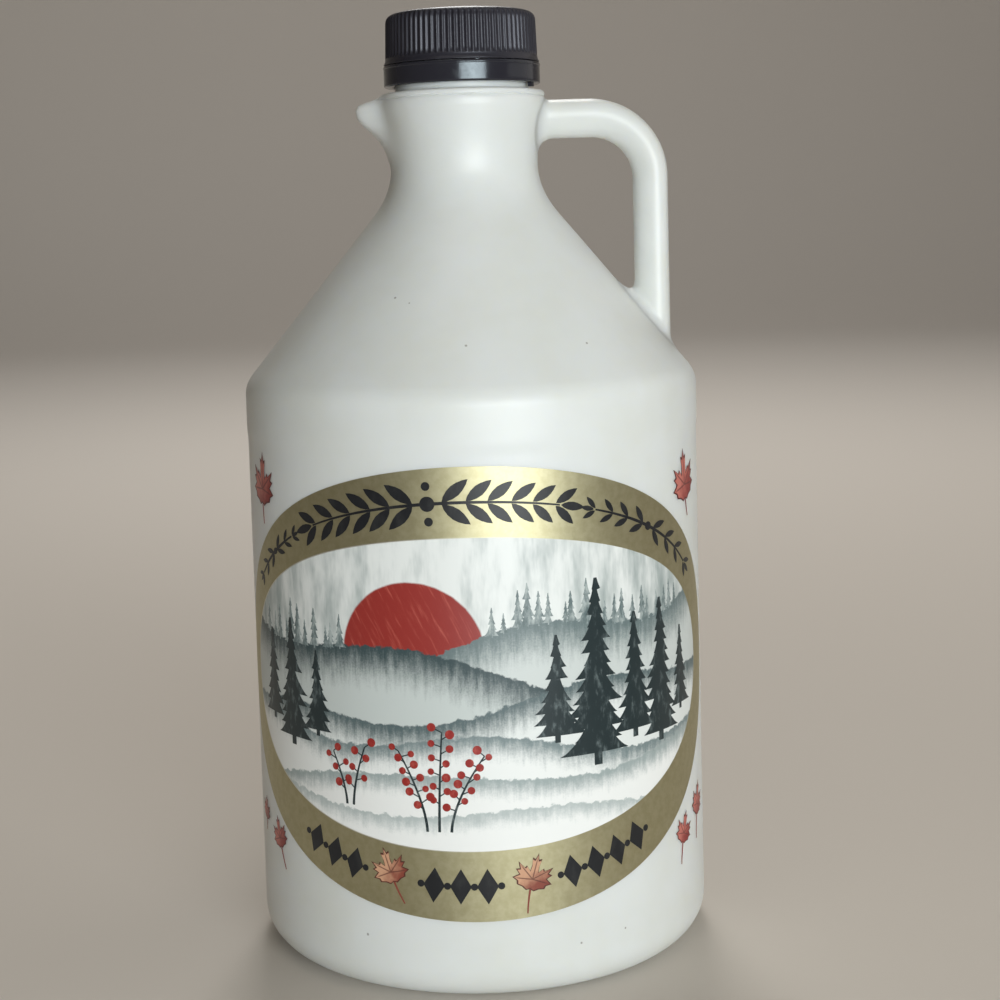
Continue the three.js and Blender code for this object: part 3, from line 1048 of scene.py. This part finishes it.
@dataclass
class Artwork(Stock):
    """Flat print laid on the jug's wall: x is the arc from the front, z the height, in millimetres.

    Every patch is a thin closed slab, and its lift is the height of its top face over the wall.
    """

    radius: float = 60.45

    def lay(self, flat: Points, lift: float) -> Points:
        """Points of the wall: angle = x / radius, at the radius plus the lift, in metres."""
        angle = flat[:, 0] / self.radius
        out = self.radius + lift
        return points_of(out * np.sin(angle), -out * np.cos(angle), flat[:, 1]) * MM

    def slab(
        self, flat: Points, faces: Faces, rim: np.ndarray, lift: float, deep: float = INK_DEEP,
        **more: np.ndarray,
    ) -> None:
        """Adds a thin closed slab.

        Args:
            flat: its flat points.
            faces: its top faces, turning anticlockwise in the flat artwork.
            rim: point numbers round its edge, anticlockwise.
            lift: height of the top face over the wall.
            deep: how thick it is.
            more: further UV values of each point.
        """
        count = len(flat)
        points = np.concatenate([self.lay(flat, lift), self.lay(flat, lift - deep)])
        after = np.roll(rim, -1)
        edge = np.stack([rim, rim + count, after + count, after], 1)
        sheets = {name: np.tile(values, (2, 1)) for name, values in {"Sheet": flat / SHEET, **more}.items()}
        self.add(points, [faces, faces[:, ::-1] + count, edge], **sheets)

    def disc(
        self, outline: Points, centre: Sequence[float], rings: int, lift: float,
        deep: float = INK_DEEP, lean: float = 0.0,
    ) -> None:
        """Adds a patch with one middle point: rings at equal steps from the centre to the outline.

        Args:
            outline: its edge, anticlockwise, all of it in sight of the centre.
            centre: its middle point.
            rings: number of rings.
            lift: height over the wall.
            deep: how thick it is.
            lean: how far the patch's own upright leans to the right, in degrees.
        """
        middle, count = np.array(centre, float), len(outline)
        ways = outline - middle
        step = (np.arange(1, rings + 1) / rings)[:, None, None]
        flat = np.concatenate([[middle], (middle + step * ways).reshape(-1, 2)])
        around = np.arange(count)
        fan = points_of(0, 1 + around, 1 + (around + 1) % count)
        faces = np.concatenate([halved(ring_grid(rings, count)[:, ::-1] + 1), fan])
        blade = (flat - middle) / np.max(np.hypot(*ways.T)) @ turned(-lean)
        share = np.concatenate([[0.0], np.repeat(step, count)])
        rim = 1 + (rings - 1) * count + around
        self.slab(flat, faces, rim, lift, deep, Blade=blade, Edge=points_of(share, share))

    def stamp(
        self, motif: Motif, heart: Points, size: float, lean: float, wide: float, rings: int, lift: float
    ) -> None:
        """Adds a motif: its outline about its heart as a disc.

        Args:
            motif: its outline.
            heart: where its heart lies.
            size: its height in millimetres.
            lean: how far it leans to the right, in degrees.
            wide: further factor on its width.
            rings: number of rings of faces.
            lift: height over the wall.
        """
        self.disc(motif.outline(size, lean, wide) + heart, heart, rings, lift, lean=lean)

    def ribbon(self, left: Points, right: Points, columns: int, lift: float) -> None:
        """Adds a strip between two edges that run the same way, upwards with left on the left.

        Args:
            left: points of one edge.
            right: points of the other edge, as many.
            columns: number of points across.
            lift: height over the wall.
        """
        rows = len(left)
        flat = between(left, right, columns).reshape(-1, 2)
        number = np.arange(rows * columns).reshape(rows, columns)
        rim = np.concatenate([number[0, :-1], number[:-1, -1], number[-1, :0:-1], number[:0:-1, 0]])
        blade = np.tile([0.5, -0.5], (len(flat), 1))
        faces = halved(ring_grid(rows, columns, wrap=False))
        self.slab(flat, faces, rim, lift, Blade=blade, Edge=np.zeros((len(flat), 2)))

    def stroke(self, path: Points, widths: np.ndarray, lift: float) -> None:
        """Adds a brush line: a ribbon of the given widths along a path.

        Args:
            path: its middle line.
            widths: its width at each point of the path.
            lift: height over the wall.
        """
        side = headings(path)[1] * widths[:, None] / 2
        self.ribbon(path + side, path - side, 3, lift)

    def dot(self, middle: Points, radius: float, lift: float) -> None:
        """Adds a round spot."""
        turn = np.linspace(0, 2 * np.pi, 20, endpoint=False)
        self.disc(middle + radius * points_of(np.cos(turn), np.sin(turn)), middle, 2, lift)


@dataclass(frozen=True)
class PrintedLeaf:
    """One printed leaf: where its heart lies, its height, its lean, its width and its stalk's length."""

    x: float
    z: float
    size: float
    lean: float
    wide: float
    stalk: float


@dataclass(frozen=True)
class Row:
    """A row of ornament on the band: the arc x of its ends, its number of motifs or pairs, their height."""

    start: float
    end: float
    number: int
    tall: float


@dataclass(frozen=True)
class Fir:
    """One fir of the picture: place of its foot from the picture's middle, height, width and tiers."""

    x: float
    foot: float
    high: float
    wide: float
    tiers: int


@dataclass
class Label:
    """The oval film on the wall, its picture's trees, the ornament on its band and the leaves round it."""

    film_lift: float = 0.10
    far_lift: float = 0.13
    ink_lift: float = 0.16
    near_lift: float = 0.19
    film_deep: float = 0.09
    seed: int = 11
    garlands: tuple[Row, ...] = (Row(-46.5, 23.5, 6, 14.5), Row(-70.5, -51.5, 3, 6.6), Row(29, 67.5, 4, 8.6))
    lozenges: tuple[Row, ...] = (Row(-50, -31, 3, 8.4), Row(-16, 4, 3, 9.0), Row(19, 45, 4, 8.6))
    wall_leaves: tuple[PrintedLeaf, ...] = (
        PrintedLeaf(-68.0, 125.8, 15.6, 4, 0.86, 9.0),
        PrintedLeaf(67.6, 123.8, 15.4, -6, 0.9, 8.5),
        PrintedLeaf(-65.2, 33.8, 9.6, -16, 0.92, 8.2),
        PrintedLeaf(-76.4, 37.8, 7.4, 8, 0.92, 5.0),
        PrintedLeaf(62.8, 32.6, 9.6, 18, 0.92, 8.0),
        PrintedLeaf(73.8, 37.2, 10.2, 14, 0.9, 9.0),
    )
    band_leaves: tuple[PrintedLeaf, ...] = (
        PrintedLeaf(-23.9, 33.2, 10.6, -18, 0.92, 8.4),
        PrintedLeaf(11.7, 31.6, 10.8, 16, 0.92, 8.6),
    )
    near_woods: tuple[Fir, ...] = (
        Fir(-63, -12, 24, 11, 8), Fir(-53, -17, 33, 15, 11), Fir(-43, -13, 22, 10, 8),
        Fir(21, -13, 27, 12, 9), Fir(32, -20, 47, 19, 14), Fir(44, -15, 32, 14, 10),
        Fir(54, -18, 37, 16, 12), Fir(64, -12, 22, 10, 8),
    )
    # A sprig's foot (x and z from the picture's middle), its height and how far it bows to the right
    sprigs: tuple[tuple[float, float, float, float], ...] = (
        (-12, -34, 20, -0.35), (-9, -34, 25, 0.05), (-6, -34, 19, 0.45),
        (-34, -29, 13, -0.3), (-32, -29, 15, 0.25),
    )

    def _leaf(self, art: Artwork, leaf: PrintedLeaf) -> None:
        """Adds a maple leaf with a thin bent stalk."""
        heart = np.array([leaf.x, leaf.z])
        art.stamp(Motif.MAPLE, heart, leaf.size, leaf.lean, leaf.wide, 7, self.ink_lift)
        lean = math.radians(leaf.lean)
        down = np.array([-math.sin(lean), -math.cos(lean)])
        side = np.array([-down[1], down[0]])
        t = np.linspace(0, 1, 9)[:, None]
        path = heart + down * leaf.stalk * t + side * 0.12 * leaf.stalk * t**2
        art.stroke(path, np.linspace(0.6, 0.35, 9), self.ink_lift - 0.005)

    def _fir(self, art: Artwork, fir: Fir, lift: float, rng: np.random.Generator) -> None:
        """Adds a fir: a trunk, and a ribbon whose half-width falls in saw teeth from low tier to tip.

        Args:
            art: where it goes.
            fir: its place and size.
            lift: height over the wall.
            rng: what makes its tiers uneven.
        """
        x, foot = PICTURE.x + fir.x, PICTURE.z + fir.foot
        low = foot + 0.1 * fir.high
        level = np.linspace(0, fir.tiers - 0.02, fir.tiers * 7)
        tier, part = np.floor(level), level % 1
        height = low + (level / fir.tiers) * (fir.high * 0.9)
        taper = 1 - level / fir.tiers
        jitter = 1 + 0.16 * rng.standard_normal((2, fir.tiers))[:, tier.astype(int)]
        half = np.maximum(fir.wide / 2 * (0.10 + 0.90 * taper) * (1.0 - 0.52 * part**0.7), 0.06)
        height = height - 0.035 * fir.high * (1 - part) * taper
        left, right = (points_of(x + way * half * jitter[k], height) for k, way in enumerate((-1, 1)))
        art.ribbon(left, right, max(3, int(fir.wide / 2) + 2), lift)
        trunk = fir.wide * 0.06
        z = np.linspace(foot, low + 0.02 * fir.high, 4)
        art.ribbon(points_of(x - trunk, z), points_of(x + trunk, z), 3, lift)

    def _woods(self) -> list[bpy.types.Object]:
        """The picture's firs, a pale far row and dark near groups, and the red-berried sprigs in the snow.

        Returns:
            The pieces, the farthest first.
        """
        rng = np.random.default_rng(self.seed)
        far, near, berries = Artwork(), Artwork(), Artwork()
        for x in np.arange(-64, 66, 3.0):
            spot = x + rng.uniform(-0.9, 0.9)
            crest = max(hill.crest_at(spot + PICTURE.x) for hill in HILLS[:2]) - PICTURE.z - 1.2
            high = min(rng.uniform(5, 12), PICTURE.rise(spot + PICTURE.x) - crest - 2)
            if high > 4 and abs(spot - Sun.x) > Sun.radius:
                self._fir(far, Fir(spot, crest, high, high * 0.4, 5), self.far_lift, rng)
        for fir in self.near_woods:
            self._fir(near, fir, self.near_lift, rng)
        for x, foot, high, bow in self.sprigs:
            t = np.linspace(0, 1, 15)[:, None]
            rise = np.concatenate([bow * high * t**1.6, high * t], 1)
            path = np.array([PICTURE.x + x, PICTURE.z + foot]) + rise
            near.stroke(path, np.linspace(0.7, 0.35, 15), self.ink_lift)
            apart = 1 if high > 18 else 2
            for k in range(4, 15, apart):
                way = 1 if k % (2 * apart) else -1
                spread = np.array([rng.uniform(1.4, 2.6) * way, rng.uniform(0.7, 1.7)])
                stalk = path[k] + spread * np.linspace(0, 1, 5)[:, None]
                near.stroke(stalk, np.full(5, 0.3), self.ink_lift)
                berries.dot(path[k] + spread, rng.uniform(0.8, 1.15), self.near_lift + 0.01)
        pale = Ink("far fir ink", srgb(98, 114, 115), srgb(186, 195, 193), 700.0, (0.35, 0.75))
        dark = Ink("near fir ink", srgb(32, 46, 49), srgb(140, 154, 154), 520.0, (0.5, 0.9))
        red = Ink("berry ink", srgb(150, 40, 36), srgb(196, 92, 80), 900.0, (0.45, 0.8))
        return [
            far.build("far_firs", pale.material()),
            near.build("near_firs", dark.material()),
            berries.build("red_berries", red.material()),
        ]

    def _band_path(self, row: Row, count: int, upper: float) -> tuple[Points, Points, Points]:
        """A stretch of the gold band's middle line.

        Args:
            row: what gives the x of its ends.
            count: number of points.
            upper: 1 on the upper half of the band, -1 on the lower.

        Returns:
            Points, unit vectors along the line and unit vectors upwards from it.
        """
        x = np.linspace(row.start, row.end, count)
        film, picture = (oval.z + upper * oval.rise(x) for oval in (FILM, PICTURE))
        path = points_of(x, (film + picture) / 2)
        return path, *headings(path)

    def _garland(self, art: Artwork, row: Row) -> None:
        """Adds a laurel garland along the upper band: a stem with leaf pairs that point from its middle."""
        count, tall, lift, wide = 20 * row.number + 1, row.tall, self.ink_lift, 1.15
        path, along, out = self._band_path(row, count, 1)
        stem = slice(4, -4)
        art.stroke(path[stem], 0.85 - 0.45 * np.abs(np.linspace(-1, 1, count)[stem]), lift)
        middle = count // 2
        art.dot(path[middle], tall * 0.13, lift + 0.01)
        for way in (-1, 1):
            if tall > 10:
                art.dot(path[middle] + out[middle] * way * tall * 0.30, tall * 0.075, lift + 0.01)
            for place in np.linspace(0.10, 0.90, row.number):
                where = int(round(middle + way * place * middle))
                size = tall * (0.60 - 0.16 * place)
                for side in (-1, 1):
                    heading = along[where] * way * 0.80 + out[where] * side * 0.62
                    heading /= np.linalg.norm(heading)
                    heart = path[where] + heading * size * 0.52 + out[where] * side * 0.25
                    art.stamp(Motif.LAUREL, heart, size, lean_of(heading), wide, 3, lift + 0.005)
            last = middle + way * (middle - 2)
            heading = along[last] * way
            heart = path[last] + heading * tall * 0.16
            art.stamp(Motif.LAUREL, heart, tall * 0.44, lean_of(heading), wide, 3, lift)

    def _lozenge_row(self, art: Artwork, row: Row) -> None:
        """Adds a row of inked lozenges with dots between them, along the lower band."""
        path, _, out = self._band_path(row, 2 * row.number + 1, -1)
        for k, (spot, normal) in enumerate(zip(path, out)):
            if k % 2:
                art.stamp(Motif.LOZENGE, spot, row.tall, lean_of(normal), 1.25, 4, self.ink_lift)
            else:
                art.dot(spot, row.tall * 0.10, self.ink_lift)

    def build(self) -> list[bpy.types.Object]:
        """Makes the film and everything printed on and round it.

        Returns:
            The pieces, the film first.
        """
        film_art, ornament, on_band, on_wall = Artwork(), Artwork(), Artwork(), Artwork()
        film_art.disc(FILM.rim(320), (FILM.x, FILM.z), 48, self.film_lift, self.film_deep)
        film = film_art.build("label_film", PrintedFilm().material(), 60)

        for row in self.garlands:
            self._garland(ornament, row)
        for row in self.lozenges:
            self._lozenge_row(ornament, row)
        ink = Ink("ornament ink", srgb(26, 28, 32), srgb(44, 45, 46), 400.0).material()
        garland = ornament.build("band_ornament", ink)

        for leaf in self.band_leaves:
            self._leaf(on_band, leaf)
        for leaf in self.wall_leaves:
            self._leaf(on_wall, leaf)
        brown = LeafInk("band leaf ink", srgb(206, 158, 126), srgb(136, 68, 54), srgb(84, 42, 36)).material()
        red = LeafInk("wall leaf ink", srgb(200, 116, 104), srgb(140, 46, 42), srgb(92, 30, 30)).material()
        leaves = [on_band.build("band_leaves", brown), on_wall.build("wall_leaves", red)]
        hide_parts("label")
        pieces = [film, garland, *leaves, *self._woods()]
        return pieces


# The studio

JUG_MIDDLE = np.array([0, 0, 0.13])


def stand(made: bpy.types.Object, right: Points, back: Points, place: Sequence[float]) -> None:
    """Places a camera or lamp and links it. It looks away from its back, and its top is back x right.

    Args:
        made: the camera or lamp.
        right: unit vector to its right.
        back: unit vector out of its back.
        place: where it stands, in metres.
    """
    matrix = np.eye(4)
    matrix[:3] = np.stack([right, np.cross(back, right), back, place], 1)
    made.matrix_world = Matrix(matrix.tolist())
    bpy.context.scene.collection.objects.link(made)


def round_jug(turn: float, rise: float, away: float) -> Points:
    """A place by its degrees from the front, its degrees above the jug's middle and how far it is from there.

    Args:
        turn: degrees from the front towards the handle's side.
        rise: degrees above level.
        away: distance in metres.

    Returns:
        The place in metres.
    """
    a, e = math.radians(turn), math.radians(rise)
    way = np.array([math.sin(a) * math.cos(e), -math.cos(a) * math.cos(e), math.sin(e)])
    return away * way + JUG_MIDDLE


@dataclass(frozen=True)
class Lamp:
    """A rectangular area lamp: place, size and target in metres, power in watts, spread in degrees."""

    name: str
    place: Points
    size: tuple[float, float]
    power: float
    tint: tuple[float, float, float] = (1.0, 1.0, 1.0)
    spread: float = 180.0
    target: Points = field(default_factory=lambda: JUG_MIDDLE)
    seen: bool = False

    def light(self) -> None:
        """Makes the lamp, with its width level."""
        data = bpy.data.lights.new(self.name, "AREA")
        data.shape = "RECTANGLE"
        data.size, data.size_y = self.size
        data.energy, data.color, data.spread = self.power, self.tint, math.radians(self.spread)
        made = bpy.data.objects.new(self.name, data)
        made.visible_camera = self.seen
        back = (self.place - self.target) / np.linalg.norm(self.place - self.target)
        right = np.cross([0, 0, 1], back)
        stand(made, right / np.linalg.norm(right), back, self.place)


LAMPS = (
    Lamp("key", round_jug(16, 4, 1.15), (0.76, 0.4), 2.58, (0.925, 0.98, 1.0), 80.0),
    Lamp("top", round_jug(0, 80, 1.4), (1.2, 1.2), 3.5, (1.0, 0.92, 0.80)),
    Lamp("right_edge", round_jug(100, 28, 1.4), (1.6, 1.2), 2.9, (1.0, 0.95, 0.89)),
    Lamp("behind", round_jug(180, 48, 1.5), (0.35, 0.9), 7.0, (1.0, 0.99, 0.97)),
    Lamp("backdrop", np.array([0, 1.5, 1.7]), (1.2, 0.5), 13.0, target=np.array([0, 2.9, 0.1]), seen=True),
)


@dataclass
class Studio:
    """Camera, lights and the pale round sweep that the jug stands on."""

    distance: float = 0.5127
    eye: float = 0.1936
    pitch: float = 5.439
    roll: float = 1.671
    focal_pixels: float = 1896.0
    image: float = 1000.0
    centre_x: float = 471.2
    centre_y: float = 400.0
    floor_flat: float = 2600.0
    floor_edge: float = 3600.0
    curve_top: float = 1000.0
    wall_top: float = 2600.0

    def camera(self) -> None:
        """The camera at the photograph's place: pitched down and rolled, with a small shift."""
        data = bpy.data.cameras.new("camera")
        data.sensor_width = 36.0
        data.lens = self.focal_pixels / self.image * data.sensor_width
        data.shift_x = 0.5 - self.centre_x / self.image
        data.shift_y = self.centre_y / self.image - 0.5
        data.clip_start = 0.01
        made = bpy.data.objects.new("camera", data)
        pitch, roll = math.radians(self.pitch), math.radians(self.roll)
        back = np.array([0, -math.cos(pitch), math.sin(pitch)])
        up = np.array([0, math.sin(pitch), math.cos(pitch)])
        right = np.array([1.0, 0, 0]) * math.cos(roll) - up * math.sin(roll)
        stand(made, right, back, (0, -self.distance, self.eye))
        bpy.context.scene.camera = made

    def sweep(self) -> None:
        """The floor: flat, then curved up into a low round wall. Its faces turn up and inwards."""
        flat, edge, wall = self.floor_flat, self.floor_edge, self.wall_top
        pen = Pen(0, 0)
        pen.to(12, (flat, 0))
        pen.to(18, (edge, 0), (edge, self.curve_top))
        pen.to(4, (edge, wall))
        points, faces = lathe(pen.points(), np.linspace(0, 2 * np.pi, 96, endpoint=False))
        stock = Stock()
        stock.add(points, [group[:, ::-1] for group in faces])
        bench = Bench("pale floor")
        tone = bench.noise(bench.place(), 3.0, 2.0)
        bench.set(Base_Color=bench.blend(tone * 0.3, srgb(219, 212, 203), srgb(215, 208, 199)))
        bench.set(Roughness=0.9, Specular_IOR_Level=0.0)
        stock.build("floor", bench.material, 60)

    def world(self) -> None:
        """A pale even surround."""
        made = bpy.data.worlds.new("surround")
        made.use_nodes = True
        background = made.node_tree.nodes["Background"]
        background.inputs["Color"].default_value = (1.0, 0.9, 0.8, 1)
        background.inputs["Strength"].default_value = 0.015
        bpy.context.scene.world = made

    def build(self) -> None:
        """Sets up everything that isn't the jug."""
        self.camera()
        self.sweep()
        self.world()
        for lamp in LAMPS:
            lamp.light()
        bpy.context.scene.view_settings.view_transform = "Standard"


def main() -> None:
    """Builds the studio and every piece of the jug, and reports each piece."""
    logging.basicConfig(level=logging.INFO, format="%(name)s: %(message)s")
    Studio().build()
    pieces = [JugShell().build(), ScrewCap().build(), TamperRing().build(), *Label().build()]
    for piece in pieces:
        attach(piece, BODY)
        piece.data.calc_loop_triangles()
        LOG.info("%s: %d triangles", piece.name, len(piece.data.loop_triangles))


if __name__ == "__main__":
    main()
